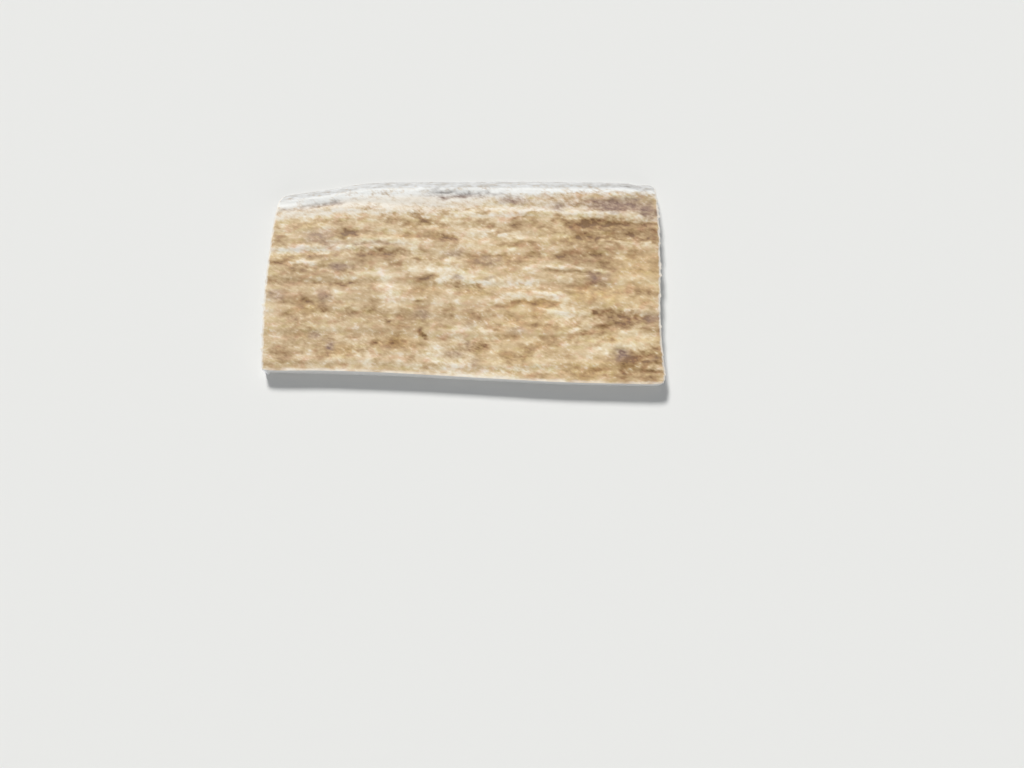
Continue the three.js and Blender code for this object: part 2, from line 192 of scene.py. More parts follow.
PURPLE_STAINS = [
    (-45.5, 13.3, 7, 3, 0.6), (-38, 3.2, 7, 2, 0.8), (-40.5, 3, 3, 1.2, 0.5), (-34, 10.6, 12, 1, 0.35),
    (-32.5, 10.6, 3, 0.9, 0.35), (-23, 10.8, 9, 0.9, 0.35, -3), (-42, 11.3, 6, 1.2, 0.4, -5),
    (-3, 7.5, 5, 2, 0.6, 10), (8, 4.8, 5, 3, 0.6, -10), (-1.5, -1, 2, 1.5, 0.7, -30),
    (-58, -6.5, 4, 3, 0.6), (-42.5, -6.8, 3.5, 3.5, 0.75, -20), (-44.5, -19.5, 4, 1.5, 0.55, -25),
    (-40.3, -23.3, 2.4, 2.8, 0.95), (-12.5, -13, 4, 2.5, 0.55, -10), (-2.5, -25.5, 5, 2, 0.5),
    (1.5, -22.5, 3, 2.5, 0.5), (4, -28.5, 3, 2.5, 0.4, -60), (16.5, -18, 4, 2, 0.6, 10),
    (2.5, -17, 2, 2.5, 0.3), (8, -1, 2, 1, 0.5), (40.5, -0.8, 4, 2.8, 0.75, -20), (44.5, -1, 2, 2, 0.6),
    (58, -14, 4, 2.5, 0.65), (47.5, -26, 3, 3, 0.95), (51, 24.5, 7, 2, 0.6, -20),
    (47, 24.3, 9, 2.8, 0.8), (48, -25.5, 4, 2, 0.7), (28, 25.5, 18, 4, 0.2), (58.5, 25, 3, 3, 0.4),
    (-8, 29.9, 8, 0.8, 0.55, 3),
    # on the worn back edge
    (-53, 23, 8, 0.9, 0.45, 10), (-44, 24.6, 8, 1, 0.6, 8), (-40, 25.3, 3, 1.2, 0.6, 10),
    (-7, 28.9, 6, 0.8, 0.95, 3), (-7, 27.3, 5, 1.3, 0.85), (-11.5, 27.5, 3, 1, 0.5, -10),
    (0, 27.8, 6, 1.5, 0.95), (6, 28.5, 10, 1.2, 0.6), (14.5, 25.8, 5, 2, 0.95),
    (18.5, 25.8, 3, 1.3, 0.5), (29.5, 23.8, 4, 2, 0.8), (38, 25.5, 5, 2, 0.35),
    (42, 26, 4, 1.3, 0.7, -10), (47, 24.4, 11, 1.8, 1), (51.5, 27, 5, 1.5, 0.5),
    (47.5, 23.5, 8, 3.2, 1), (53, 25.6, 5, 1.6, 0.7), (57, 22.5, 6, 3.5, 0.9, -20),
    (58.5, 20.8, 3, 1, 0.8), (44, 32.3, 9, 0.6, 0.45, -6), (51, 31.5, 8, 0.6, 0.45, -5),
    (57, 30.8, 6, 0.5, 0.35, -6), (50, 33, 16, 2.2, 0.3, -3),
]
WORN_SPOTS = [
    # the left half
    (-51, 9.6, 18, 1.1, 0.6), (-50, 4.5, 8, 1.2, 0.7, -5), (-57, 0.8, 4, 1, 0.4),
    (-28, 16, 10, 0.8, 0.5), (-27, 12, 20, 1.4, 0.3, -2), (-14, 12.2, 5, 1.5, 0.5),
    (-12, 2.7, 12, 1.5, 0.5), (-6.5, 18.8, 3, 1.2, 0.8), (-48, 14.8, 5, 1.2, 0.4), (-37, 9, 3, 1, 0.5),
    (-6, -1.5, 3.5, 3, 0.85), (-24, -1.5, 3.5, 4, 0.6, -60), (-22, -6, 4, 5, 0.75),
    (-22, -9, 3, 2, 0.5), (-38, -5.5, 5, 1.5, 0.6), (-43, -13, 6, 1.5, 0.45), (-39, -17, 4, 2, 0.4),
    (-32, -22, 4, 2, 0.5), (-39, -27, 3, 2, 0.45), (-46, -26, 5, 2.5, 0.4, -10),
    (-28.5, -26.5, 3, 2.5, 0.65), (-29, -29, 3, 1.5, 0.55), (-9, -26.5, 4, 3, 0.9, -20),
    (-2, -28.5, 6, 2, 0.75, -10), (-4, -31, 6, 2, 0.7, 15), (0, -17, 3, 2, 0.6),
    (-8, -16.5, 4, 2, 0.4, -10),
    # the right half
    (3, 21.5, 8, 1.5, 0.7), (8, 20.7, 5, 1, 0.7, 5), (19, 22.8, 20, 1.8, 0.4, 2),
    (31.5, 22.8, 6, 2, 0.5, -35), (38, 21.9, 8, 1.2, 0.4), (46, 21.3, 8, 1.3, 0.8, -5),
    (55, 19.7, 10, 1, 0.7, -3), (13, 13.8, 4, 1.2, 0.95, -8), (16.5, 12.7, 3.5, 1, 0.85, -5),
    (15.5, 14.4, 4, 0.6, 0.6, -5), (5, 15, 8, 2.5, 0.6), (15, 8.3, 2.5, 1.8, 0.9),
    (9.5, 8, 5, 1, 0.6, -10), (28.5, 17.6, 3, 1.2, 0.5, -20), (31, 13.5, 3, 1.5, 0.5),
    (32, 3, 6, 1, 0.7, -4), (26.5, 3, 5, 1, 0.7, -5), (21, 3.2, 4, 1.5, 0.5),
    (52, 10.8, 14, 0.9, 0.6, -5), (0, 1, 6, 1.5, 0.7, -5), (44, 0.8, 3, 1, 0.5),
    (4, -1.8, 8, 1.5, 0.85, -5), (11, -2.5, 4, 1, 0.5), (18.5, -2.5, 4, 3, 0.75, -10),
    (18, -6.6, 7, 1.6, 0.8), (27.5, -6.6, 7, 1.6, 0.8), (30.5, -12.5, 7, 5, 0.85, -20),
    (31, -16, 4, 1.5, 0.6), (34.5, -18.3, 4, 1.2, 0.7, 10), (7, -19, 4, 1.5, 0.85, -35),
    (42.5, -24.5, 6, 2.5, 0.95, -5), (40, -22.5, 4, 2, 0.6, -20), (52, -21, 12, 2, 0.55, -3),
    (45, -20, 10, 1.5, 0.5), (23, -26.5, 4, 4, 0.5, -50), (36, -27.5, 5, 2, 0.6, -35),
    (8, -33, 12, 1.2, 0.75, -3), (1, -26.5, 5, 3, 0.6, -20), (58, -30.3, 6, 0.7, 0.85, -3),
    (37, -14, 6, 4, 0.45), (10, -24.5, 3, 2.5, 0.5), (36, -21.5, 6, 3.5, 0.5, -20),
    (53, -23, 9, 3, 0.6), (12, -30.5, 8, 3, 0.6), (54, -11.3, 7, 1.5, 0.5), (-16, 7.5, 7, 2.5, 0.6),
    (16, -3.5, 7, 2.5, 0.5),
    # pale shades over the whole bark, most of them broad
    (-51, 8.8, 18, 1.6, 0.8), (-32, 9.3, 6, 1.3, 0.5), (-38.5, 5.8, 4, 2.5, 0.5),
    (-34.5, 1.8, 3, 3, 0.5), (-28, 14, 4, 4, 0.45), (-56, -1.8, 4, 2.5, 0.55),
    (-22, -15.2, 4, 1.6, 0.5), (-31.5, -23.3, 5, 2.5, 0.7, -20), (-31, -25.5, 10, 2.5, 0.3),
    (-2.8, 13, 3, 2, 0.5), (5, 10, 10, 3, 0.25), (47, 27.7, 6, 1.4, 0.9), (37, 27, 5, 1.8, 0.7),
    (21.5, 27, 4, 1.5, 0.4), (52.3, -12.4, 4, 1.4, 0.9), (45, -11.3, 4, 1.1, 0.3),
    (5.5, -3.8, 6, 2.5, 0.5, -20), (19, -2.3, 4, 1.5, 0.4), (41, -5, 5, 2.5, 0.4), (42, 1, 3, 1.3, 0.6),
    (37, -12.6, 5, 1.3, 0.5), (37.3, -17.3, 3, 1.6, 0.5), (7, -24.5, 3, 2, 0.5),
    (13, -27.5, 2.5, 2, 0.5), (-14, -30.2, 14, 1.2, 0.4), (18, -6.7, 7, 1.2, 0.5),
    (42.5, -24.3, 6, 2, 0.6), (-49.8, 7.8, 5, 1.3, 0.8), (-31, 9.1, 4, 1.3, 0.7),
    (-57.8, 5.6, 4, 1, 0.5), (-49.5, 2.9, 4, 1.2, 0.5), (-46.5, 16.5, 4, 1.5, 0.4),
    (-14.9, 24.8, 5, 2, 0.5), (-11.3, 14.8, 2, 3, 0.45), (-4.2, 12.4, 3, 1.5, 0.5),
    (-16.8, 14.8, 3, 1.3, 0.45), (9, 14.7, 3, 1.5, 0.5), (9, 25.3, 7, 1.8, 0.5),
    (-4.4, -2.3, 5, 2, 0.45, -10), (19, -2.6, 4, 1.5, 0.45), (-26, -22, 4, 1.8, 0.75),
    (-50.6, -13.6, 4, 1.8, 0.5), (-46.2, -17.7, 4, 1.5, 0.4), (-27.7, -11.6, 4, 1.6, 0.35),
    (33.6, -22.6, 4, 1.6, 0.5), (38.4, -13.1, 5, 1.2, 0.4), (51.5, -12.7, 4, 1.6, 0.6),
    (11, -22, 3, 1.6, 0.4), (9.5, -31, 6, 1.5, 0.35), (32, -31.2, 6, 1.5, 0.45),
    (17.2, -26.8, 4, 1.6, 0.4), (41, 11.1, 3, 1.4, 0.45), (41.4, 15, 3, 1.6, 0.5),
    (51, 21.4, 3, 1.3, 0.5), (-3, -25, 10, 4, 0.25), (-51, 8.8, 22, 2.2, 0.8), (-32, 9, 12, 1.5, 0.5),
    (-48, 19.5, 26, 5, 0.5), (-25, 20.5, 22, 4, 0.4), (4, 18.5, 12, 3.5, 0.5), (-4, 1.5, 8, 8, 0.4),
    (-3, -22.5, 9, 4, 0.4), (46, -8, 24, 4, 0.3, -5),
    # more shades between them
    (-57, 8.5, 8, 1.5, 0.7), (-49, 8.2, 7, 2, 0.8), (-33, 9, 9, 1.5, 0.7), (-40, 8.5, 6, 1.5, 0.5),
    (-28, 12, 9, 1.6, 0.6), (-39, 12.2, 5, 1.5, 0.5), (-22, 12, 5, 1.3, 0.4), (-36, 22, 9, 1.5, 0.5, 5),
    (-56, 15.3, 5, 2, 0.5), (-53, 17.5, 5, 2, 0.4), (-34, 16, 5, 1.5, 0.4),
    (-15, 24.2, 4, 2.5, 0.6, -30), (-2, 24.5, 10, 1, 0.5), (-12.8, 17.3, 3.5, 2, 0.55),
    (-17.5, 14.8, 5, 1.2, 0.4), (-2.5, 12.8, 4.5, 2.5, 0.75, -15), (-0.5, 6.3, 4, 2, 0.6, 20),
    (-16.5, 7, 7, 2, 0.5, -5), (-12.5, 3, 8, 3, 0.4), (-50, 3.5, 6, 1.5, 0.5), (-56, 1, 7, 1.5, 0.4),
    (-35, -1, 9, 2, 0.4, 5), (-29, -4, 3, 5, 0.35), (-35, -9, 8, 2, 0.3, -20), (-21, -1.3, 5, 1.2, 0.4),
    (-11, 1.5, 6, 3, 0.5, -20), (-4, -1.5, 6, 3, 0.6, -20), (-4.5, -8.5, 4, 3, 0.4, -30),
    (-22.5, -8.5, 4, 2, 0.4), (-42, -11.3, 6, 2, 0.5, -20), (-46.5, -17.5, 5, 2, 0.65, -20),
    (-54.5, -18.5, 4, 2, 0.35), (-34, -11, 6, 1.5, 0.4), (-20, -12.3, 6, 2, 0.6), (-28, -15, 4, 4, 0.3),
    (-6, -16, 5, 6, 0.35), (-26.5, -21.5, 5, 2, 0.6), (-15.5, -22.3, 4, 2, 0.35), (-5, -26, 6, 4, 0.4),
    (-15, -27, 4, 3, 0.6, -30), (-14, -29.5, 12, 1.5, 0.5), (-22, -29, 6, 1.2, 0.4),
    (-57, -29.3, 7, 1.2, 0.6), (-45, -28, 7, 2, 0.4), (-34, -28, 6, 2, 0.4), (8, 25.5, 6, 2, 0.6, 20),
    (7.5, 14, 4, 2.5, 0.6, -15), (15, 12.7, 8, 1.5, 0.6, -5), (5, 10, 8, 2, 0.4, 10),
    (9, 21, 18, 1.6, 0.7), (1, 20, 4, 2, 0.5), (27, 21.3, 6, 1.5, 0.5), (41, 20.3, 10, 1.6, 0.8),
    (55, 19.2, 10, 1.2, 0.8), (24, 16, 3, 3, 0.5, 40), (30, 14, 7, 1.8, 0.4), (52, 9.8, 10, 1.6, 0.65),
    (27.5, 7.5, 5, 3, 0.4), (25, 2.3, 6, 1.2, 0.5), (41.5, 1, 3, 1.5, 0.5), (5, -2.8, 7, 1.3, 0.5),
    (11, -2.5, 5, 2, 0.5), (20, -2.8, 12, 2.5, 0.7), (30, -2, 12, 1.5, 0.6), (18.5, -7.3, 5, 1.5, 0.5),
    (7, -9, 5, 2.5, 0.6), (3, -13.3, 4, 2, 0.5), (12, -16, 4, 2, 0.4, -20),
    (21.5, -16, 4, 1.5, 0.4, -20), (31, -13, 10, 1.3, 0.5), (39, -12.8, 6, 1.2, 0.4),
    (30.5, -18, 2.5, 4, 0.4), (2, -21, 5, 1.5, 0.4, -10), (7, -20, 7, 1.3, 0.4), (11, -31, 8, 2, 0.5),
    (21, -32, 5, 1.8, 0.6), (42.5, -28.5, 3, 3, 0.5), (54.5, -24.5, 8, 2.5, 0.6, -15),
    (47, -24.5, 6, 2, 0.4), (40, -22, 6, 3, 0.3), (52.5, -12, 5, 1.8, 0.6), (24, -28, 3, 2, 0.3),
]
GOLDEN_PATCHES = [
    (46, -7.5, 10, 3.5, 0.8, -10), (37, -7, 6, 4, 0.6), (55, -9, 8, 3, 0.5), (40, -5, 8, 3, 0.2),
    (54, 4, 12, 8, 0.5), (52, -21, 14, 3, 0.6, -3), (-20, -22, 9, 4, 0.6), (38, -31, 14, 4, 0.5),
    (-17.5, 13.8, 6, 2, 0.4), (-50, 18, 8, 3, 0.3), (23, -13, 22, 14, 0.4), (22, -9, 14, 2, 0.4),
    (14, -27, 22, 10, 0.35), (46, -27, 26, 12, 0.3), (54, -2, 14, 6, 0.4), (34, 14, 20, 10, 0.25),
    (10, 4, 22, 8, 0.25), (23.5, -12, 5, 3, 0.5), (-42, -7, 5, 3, 0.6), (-48, -11, 8, 3, 0.5),
    (-38, -25, 8, 4, 0.5), (2.5, -6, 5, 2.5, 0.5), (-12, -5, 8, 3, 0.4), (-16, 17, 4, 2, 0.4),
    (-9, 15, 4, 4, 0.4), (15, -17, 5, 5, 0.4), (12, 9, 14, 5, 0.25), (44, -20, 6, 2, 0.4),
    (20, -9, 6, 1.5, 0.4), (-56, 4.5, 8, 3, 0.35),
]
MARKS = {
    "stain": BROWN_STAINS,
    "purple": PURPLE_STAINS,
    "worn": WORN_SPOTS,
    "gold": GOLDEN_PATCHES,
}

# Marks where the bark is worn through to white, as along the back edge.
WHITE_STREAKS = [
    (-52, 8.8, 16, 1.6, 0.55), (-12, 25, 10, 2.5, 0.6), (3, 25.2, 12, 2, 0.35), (-25, 22, 8, 2, 0.35),
    (20, 22.8, 26, 1.5, 0.75), (38, 22, 10, 1.4, 0.6), (46, 21.2, 8, 1.2, 0.45, -4),
    (56, 19.8, 8, 0.9, 0.35, -3), (10, 21, 16, 1.2, 0.35), (-53, 21, 14, 1.6, 0.55, 5),
    (-36, 22.6, 12, 1.6, 0.4), (27, -6.6, 7, 0.9, 0.45, -2), (17, -6.8, 7, 1, 0.35),
    (5, -1.9, 8, 1, 0.4, -5), (13.5, 13.8, 4, 1, 0.65, -8), (-6, -1.5, 3.5, 2.5, 0.45),
    (-50, 4.5, 5, 0.9, 0.4, -5), (33, 2.9, 7, 0.8, 0.6, -4), (-22, -6, 3, 4, 0.25),
    (-52, 21.5, 18, 3, 0.6, 8), (-36, 22.5, 12, 3, 0.6), (30, 25, 22, 4, 0.35),
    (-3, 1.5, 8, 4, 0.35, -20), (18, -3.2, 7, 3, 0.4), (-9, -26, 4, 3, 0.4), (-3, -29, 8, 2.5, 0.4),
    (6.5, 14.8, 6, 2, 0.35), (-39, 12.3, 5, 1, 0.35), (30.5, -13, 5, 4, 0.35, -20),
    (12, -31.5, 14, 1.5, 0.35, -3),
]

# The worn white zone reaches down from the back edge to a line, and fades out across it: by x,
# the line's y and the width of the fading.
WHITE_ZONE_FRONT = [
    (-61, 21, 5), (-50, 22.5, 4), (-45, 23.3, 3.5), (-38, 22.8, 5), (-30, 23.3, 7), (-20, 22.4, 6),
    (-12, 22.3, 5.5), (-5, 23.3, 7), (9, 25.2, 6), (22, 28, 4), (36, 28.7, 2.5), (52, 28.7, 2.2),
    (61, 28, 2),
]

# Burrs of the saw on the rims of both ends: the place of each along the end, towards the back at
# the right end and towards the front at the left one, and how far it sticks out.
RIGHT_BURRS = [
    (-32.4, 0.45), (-31.2, 0.35), (-26.2, 0.3), (-17, 0.3), (-7, 0.35), (0, 0.55), (2.4, 0.35),
    (3.7, 0.5), (11, 0.3), (12.4, 0.3), (15, 0.3), (16, 0.35), (20.1, 0.65), (22.2, 0.35), (23.9, 0.35),
    (25.8, 0.35),
]
LEFT_BURRS = [
    (1.5, 0.35), (2.9, 0.3), (9.5, 0.75), (12.1, 0.3), (13.5, 0.3), (19.3, 0.6), (23.9, 0.4),
]

# -------------------- the mesh

COLUMNS = 330
ROWS = 240
COLUMN_CROWDING = 0.35
ROW_CROWDING = 0.3
WALL_RINGS = 6
UNDERSIDE_STEP = 10  # the underside has one grid line for this many of the bark's
SHARP_ANGLE = 40

# Layers of grain: strength, length, width, slant, seed.
FIBRES = [(0.03, 7, 1.5, 0, 11), (0.06, 2.6, 1.6, 0, 12), (0.03, 1.5, 0.7, 0.7, 13)]
TEARS = [(1.3, 5, 1.6, 0, 41), (0.5, 1.5, 0.6, 0, 42)]
BLOT_WARP_X = [(2.2, 5, 3, 0, 101)]
BLOT_WARP_Y = [(1.3, 4, 2.2, 0, 103)]

BLOT_SPREAD = 1.35
BLOT_COVER = 0.95
BLOT_EDGE = 1.2  # above 1, a blot is flatter in its middle and steeper at its edge

PIT_DEPTH = 0.06  # of the bark where it is stained
SLOPE_WEAR = 0.7  # the share of the fine relief that is worn off the back slope
CREST_FADE = (9, 6)  # from the back edge: where the worn white begins to turn cold, and where it has
SLOPE_FADE = 0.7  # the share of the back slope's width where its own grey is full
ZONE_TEAR = 0.7
FRONT_RIM_TEAR = 0.5
FRONT_RIM = (0.2, 1.1)  # from the front cut: how far its pale rim is full, and how far it reaches
RELIEF_UNIT = 0.35

# The rims of both ends, which the saw has chipped pale and left jagged, with burrs.
CHIP_WIDTH = 0.7
CHIP_DROP = 0.3
CHIP_POWER = 1.5
CHIP_PALENESS = 0.85
CHIP_PALE_FROM = 0.5
BURR_DEPTH = 0.4
BURR_STEEP = 0.35
BURR_LONG = 1.3
BURR_FREE_BACK = (0.5, 3)  # from the back edge and the front cut: where the burrs begin and are full
BURR_FREE_FRONT = (0.3, 2)

# Layers of noise along those rims: strength, length, line of the noise, seed.
CHIP_LAYERS = [(0.6, 1.4, 3.5, 21), (0.4, 0.5, 7.5, 22)]
JAG_LAYERS = [(0.16, 0.9, 5.5, 23), (0.12, 0.5, 9.5, 24)]

# The walls.
SAW_ROUGHNESS = 0.05
SAW_MARK_LENGTH = 0.9
SAW_MARK_HEIGHT = 0.6
ROUGH_THICKNESS = 1.5  # where the slab is thinner than this, its walls are smoother
LEAN_REACH = 4

# The front left corner: the front cut's foot is worn back over a share of the cut's length, up to
# a small flake that stands out beside the corner. Its walls near the corner are painted near white,
# a painted highlight for the light that catches the chipped facet.
CORNER_WEAR = 0.5
CORNER_SHARE = 0.2
FLAKE_PLACE = 1.2
FLAKE_HALF = 1
FLAKE_WIDTH = 0.25
CORNER_HIGHLIGHT_REACH = (0.4, 1.6)  # how far from the corner its painted highlight is full, and how far it reaches

# Large odd numbers that mix a grid position and a seed into an even spread of angles.
MIX_COLUMN, MIX_ROW, MIX_SEED, MIX_AGAIN = 374761393, 668265263, 974634777, 1274126177


def noise(x, y, seed):
    """Smooth gradient noise, about -0.7 to 0.7, with features about one unit across."""
    column, row = np.floor(x).astype(np.int64), np.floor(y).astype(np.int64)
    across, up = x - column, y - row

    def corner(i, j):
        mixed = (column + i) * MIX_COLUMN + (row + j) * MIX_ROW + seed * MIX_SEED
        mixed = (mixed ^ (mixed >> 13)) * MIX_AGAIN & 0xFFFFFFFF
        angle = (mixed ^ (mixed >> 16)) * (2 * math.pi / 2**32)
        return np.cos(angle) * (across - i) + np.sin(angle) * (up - j)

    fade_x = across**3 * (across * (across * 6 - 15) + 10)
    fade_y = up**3 * (up * (up * 6 - 15) + 10)
    low = corner(0, 0) * (1 - fade_x) + corner(1, 0) * fade_x
    high = corner(0, 1) * (1 - fade_x) + corner(1, 1) * fade_x
    return low * (1 - fade_y) + high * fade_y


def grain(x, y, layers, octaves=3):
    """Noise in streaks along X: the sum of the layers, each with finer octaves of itself on top."""
    return sum(
        strength
        * sum(
            noise((x - slant * y) / length * 2**k, (y + slant * x) / width * 2**k, seed + 31 * k)
            / 2**k
            for k in range(octaves)
        )
        for strength, length, width, slant, seed in layers
    )


def ragged(along, side, layers):
    """Noise along the rims, which differs between sides of -1 and 1."""
    return sum(
        strength * noise(along / length, side * line, seed)
        for strength, length, line, seed in layers
    )


def smoothstep(value, low, high):
    share = np.clip((value - low) / (high - low), 0, 1)
    return share * share * (3 - 2 * share)


def nearing(distance, far, near):
    """0 at far and beyond, up to 1 at near."""
    return smoothstep(-distance, -far, -near)


def smooth_curve(corners, shares, steps=400):
    """Points at those shares of the length of the centripetal Catmull-Rom curve through corners."""
    p = np.array(corners, float)
    p = np.vstack([2 * p[0] - p[1], p, 2 * p[-1] - p[-2]])
    t = np.linspace(0, 1, steps, endpoint=False)[:, None]
    pieces = []
    for a, b, c, d in zip(p, p[1:], p[2:], p[3:]):
        before, here, after = (
            math.sqrt(np.linalg.norm(q - r)) for q, r in ((a, b), (b, c), (c, d))
        )
        leave = ((b - a) / before - (c - a) / (before + here) + (c - b) / here) * here
        arrive = ((c - b) / here - (d - b) / (here + after) + (d - c) / after) * here
        pieces.append(
            b
            + leave * t
            + (3 * (c - b) - 2 * leave - arrive) * t**2
            + (2 * (b - c) + leave + arrive) * t**3
        )
    line = np.vstack([*pieces, p[-2:-1]])
    along = np.r_[0, np.cumsum(np.linalg.norm(np.diff(line, axis=0), axis=1))]
    return np.stack([np.interp(shares * along[-1], along, line[:, k]) for k in (0, 1)], -1)


def plan_grid(columns, rows):
    """The plan position of each grid point, rows first: a Coons patch of the outline's four edges."""
    front, back = smooth_curve(FRONT_CUT, columns), smooth_curve(BACK_EDGE, columns)
    left, right = smooth_curve(LEFT_CUT, rows), smooth_curve(RIGHT_CUT, rows)
    u, v = columns[None, :, None], rows[:, None, None]
    across_y = front[None] * (1 - v) + back[None] * v
    across_x = left[:, None] * (1 - u) + right[:, None] * u
    corners = (front[0] * (1 - u) + front[-1] * u) * (1 - v)
    corners = corners + (back[0] * (1 - u) + back[-1] * u) * v
    return across_y + across_x - corners


def crowded(count, crowding):
    """Shares from 0 to 1, closer together near both ends."""
    t = np.linspace(0, 1, count + 1)
    return t - crowding * np.sin(2 * math.pi * t) / (2 * math.pi)


def ridge_height(x, y):
    height = np.zeros_like(x)
    for x0, y0, x1, y1, width, rise in RIDGES:
        length = math.hypot(x1 - x0, y1 - y0)
        along_x, along_y = (x1 - x0) / length, (y1 - y0) / length
        share = ((x - x0) * along_x + (y - y0) * along_y) / length
        aside = (y - y0) * along_x - (x - x0) * along_y
        fade = smoothstep(share, 0, RIDGE_FADE) * (1 - smoothstep(share, 1 - RIDGE_FADE, 1))
        height += rise * fade * np.exp(-((aside / width) ** 2))
    return height


def wave_height(x, y):
    wander = sum(reach * np.sin(x / length + phase) for reach, length, phase in WANDER)
    return sum(
        rise * np.sin(2 * math.pi * (y + wander) / length + phase)
        for length, rise, phase in WAVES
    )


def bark_height(y, to_back, relief):
    """The bark's height over the underside, with the relief on it and the back slope."""
    crown = CROWN * (1 - ((y - CROWN_CENTRE_Y) / CROWN_HALF_WIDTH) ** 2)
    full = FRONT_THICKNESS + crown + relief
    inward = np.minimum(to_back / BACK_SLOPE_WIDTH, 1)
    slope = 1 - (1 - inward) ** BACK_SLOPE_POWER
    return BACK_EDGE_THICKNESS + (full - BACK_EDGE_THICKNESS) * slope


def blot(x, y, centre_x, centre_y, length, width, strength, turn=0):
    """How strongly each point is covered by one mark."""
    cos, sin = math.cos(math.radians(turn)), math.sin(math.radians(turn))
    dx, dy = x - centre_x, y - centre_y
    along = (dx * cos + dy * sin) / (BLOT_SPREAD * length / 2)
    aside = (dy * cos - dx * sin) / (BLOT_SPREAD * width / 2)
    return BLOT_COVER * strength * np.exp(-((along**2 + aside**2) ** BLOT_EDGE))


def blots(x, y, marks):
    """How strongly each point is covered by all the marks, 0 to 1, with torn edges."""
    warped_x = x + grain(x, y, BLOT_WARP_X, 4)
    warped_y = y + grain(x, y, BLOT_WARP_Y, 4)
    bare = np.ones_like(x)
    for mark in marks:
        bare *= 1 - blot(warped_x, warped_y, *mark)
    return 1 - bare


def whiteness(x, y, torn):
    """How far the bark is worn white: in the zone along the back edge, and in the streaks."""
    zone_x, zone_y, zone_fade = zip(*WHITE_ZONE_FRONT)
    front, fade = np.interp(x, zone_x, zone_y), np.interp(x, zone_x, zone_fade)
    zone = np.clip((y + ZONE_TEAR * torn - front) / fade + 0.5, 0, 1)
    return np.maximum(zone, blots(x, y, WHITE_STREAKS))


def burrs(along, places):
    """How far the burrs stick out: each is steep on its lower side and drawn out on the other."""
    reach = np.zeros_like(along)
    for place, height in places:
        off = along - place
        share = np.where(off < 0, 1 + off / BURR_STEEP, 1 - off / BURR_LONG)
        reach = np.maximum(reach, height * np.maximum(share, 0))
    return reach


def bark_sheet():
    """The bark's grid of points, how far out along X the saw has pushed each, and by point the
    values that its material reads."""
    plan = plan_grid(crowded(COLUMNS, COLUMN_CROWDING), crowded(ROWS, ROW_CROWDING))
    x, y = plan[..., 0], plan[..., 1]
    edges = plan[-1:], plan[:1], plan[:, :1], plan[:, -1:]
    to_back, to_front, to_left, to_right = (
        np.linalg.norm(plan - edge, axis=-1) for edge in edges
    )
    to_end = np.minimum(to_left, to_right)
    side = np.where(to_left < to_right, -1.0, 1.0)

    values = {name: blots(x, y, marks) for name, marks in MARKS.items()}
    lines = ridge_height(x, y) + wave_height(x, y)
    fibres = grain(x, y, FIBRES, 2)
    pits = -PIT_DEPTH * np.maximum(values["stain"], values["purple"])
    kept = 1 - SLOPE_WEAR * nearing(to_back, BACK_SLOPE_WIDTH, BACK_SLOPE_WIDTH / 2)
    z = bark_height(y, to_back, lines + (fibres + pits) * kept)

    uneven = 1 + ragged(y, np.ones_like(y), CHIP_LAYERS)
    chip = np.clip(1 - to_end / (CHIP_WIDTH * uneven), 0, 1)
    z -= CHIP_DROP * chip**CHIP_POWER * np.minimum(z / FRONT_THICKNESS, 1)
    spikes = np.where(side < 0, burrs(-y, LEFT_BURRS), burrs(y, RIGHT_BURRS))
    burr = side * (ragged(y, side, JAG_LAYERS) + spikes) * np.exp(-to_end / BURR_DEPTH)
    burr *= smoothstep(to_back, *BURR_FREE_BACK) * smoothstep(to_front, *BURR_FREE_FRONT)

    torn = grain(x, y, TEARS)
    values["white"] = whiteness(x, y, torn)
    values["crest"] = nearing(to_back, *CREST_FADE)
    values["slope"] = nearing(to_back, BACK_SLOPE_WIDTH, BACK_SLOPE_WIDTH * SLOPE_FADE)
    values["rim"] = CHIP_PALENESS * smoothstep(chip, 0, CHIP_PALE_FROM)
    values["front_rim"] = 1 - smoothstep(to_front + FRONT_RIM_TEAR * torn, *FRONT_RIM)
    values["relief"] = (lines + fibres) / RELIEF_UNIT
    return np.stack([x, y, z], -1), burr, values


def rim_loop():
    """The grid positions (column, row) once round the slab, anticlockwise seen from above."""
    return (
        [(column, 0) for column in range(COLUMNS)]
        + [(COLUMNS, row) for row in range(ROWS)]
        + [(column, ROWS) for column in range(COLUMNS, 0, -1)]
        + [(0, row) for row in range(ROWS, 0, -1)]
    )


def fading(distance):
    """1 at no distance, down to 0 at LEAN_REACH."""
    return np.maximum(0, 1 - distance / LEAN_REACH)


def foot_points(rim, loop):
    """The foot of the walls, on the underside, moved in by the lean of each cut.

    A cut's lean dies out past its corners, so that the foot never folds back over itself."""
    columns, rows = np.array(loop).T
    at_left, at_right, at_front = columns == 0, columns == COLUMNS, rows == 0
    x, y = rim[:, 0], rim[:, 1]
    front_y = np.where(at_left, y[0], y[COLUMNS])
    from_front = np.where(at_front, 0, np.where(at_left | at_right, y - front_y, math.inf))
    from_left = np.where(at_left, 0, x - x[0])
    from_right = np.where(at_right, 0, x[COLUMNS] - x)

    share = crowded(COLUMNS, COLUMN_CROWDING)[columns]
    lean = FRONT_UNDERCUT_LEFT + (FRONT_UNDERCUT_RIGHT - FRONT_UNDERCUT_LEFT) * share
    wear = CORNER_WEAR * np.maximum(0, 1 - share / CORNER_SHARE)
    lean += wear * smoothstep(x - x[0], FLAKE_PLACE, FLAKE_PLACE + FLAKE_HALF)
    end_lean = END_UNDERCUT * rim[:, 2] / FRONT_THICKNESS

    foot = rim * (1, 1, 0)
    foot[:, 0] += end_lean * (fading(from_left) - fading(from_right))
    foot[:, 1] += lean * fading(from_front)
    return foot


def from_corner(rim):
    """The distance of each point of the rim from the front left corner, where the rim starts."""
    return np.hypot(rim[:, 0] - rim[0, 0], rim[:, 1] - rim[0, 1])


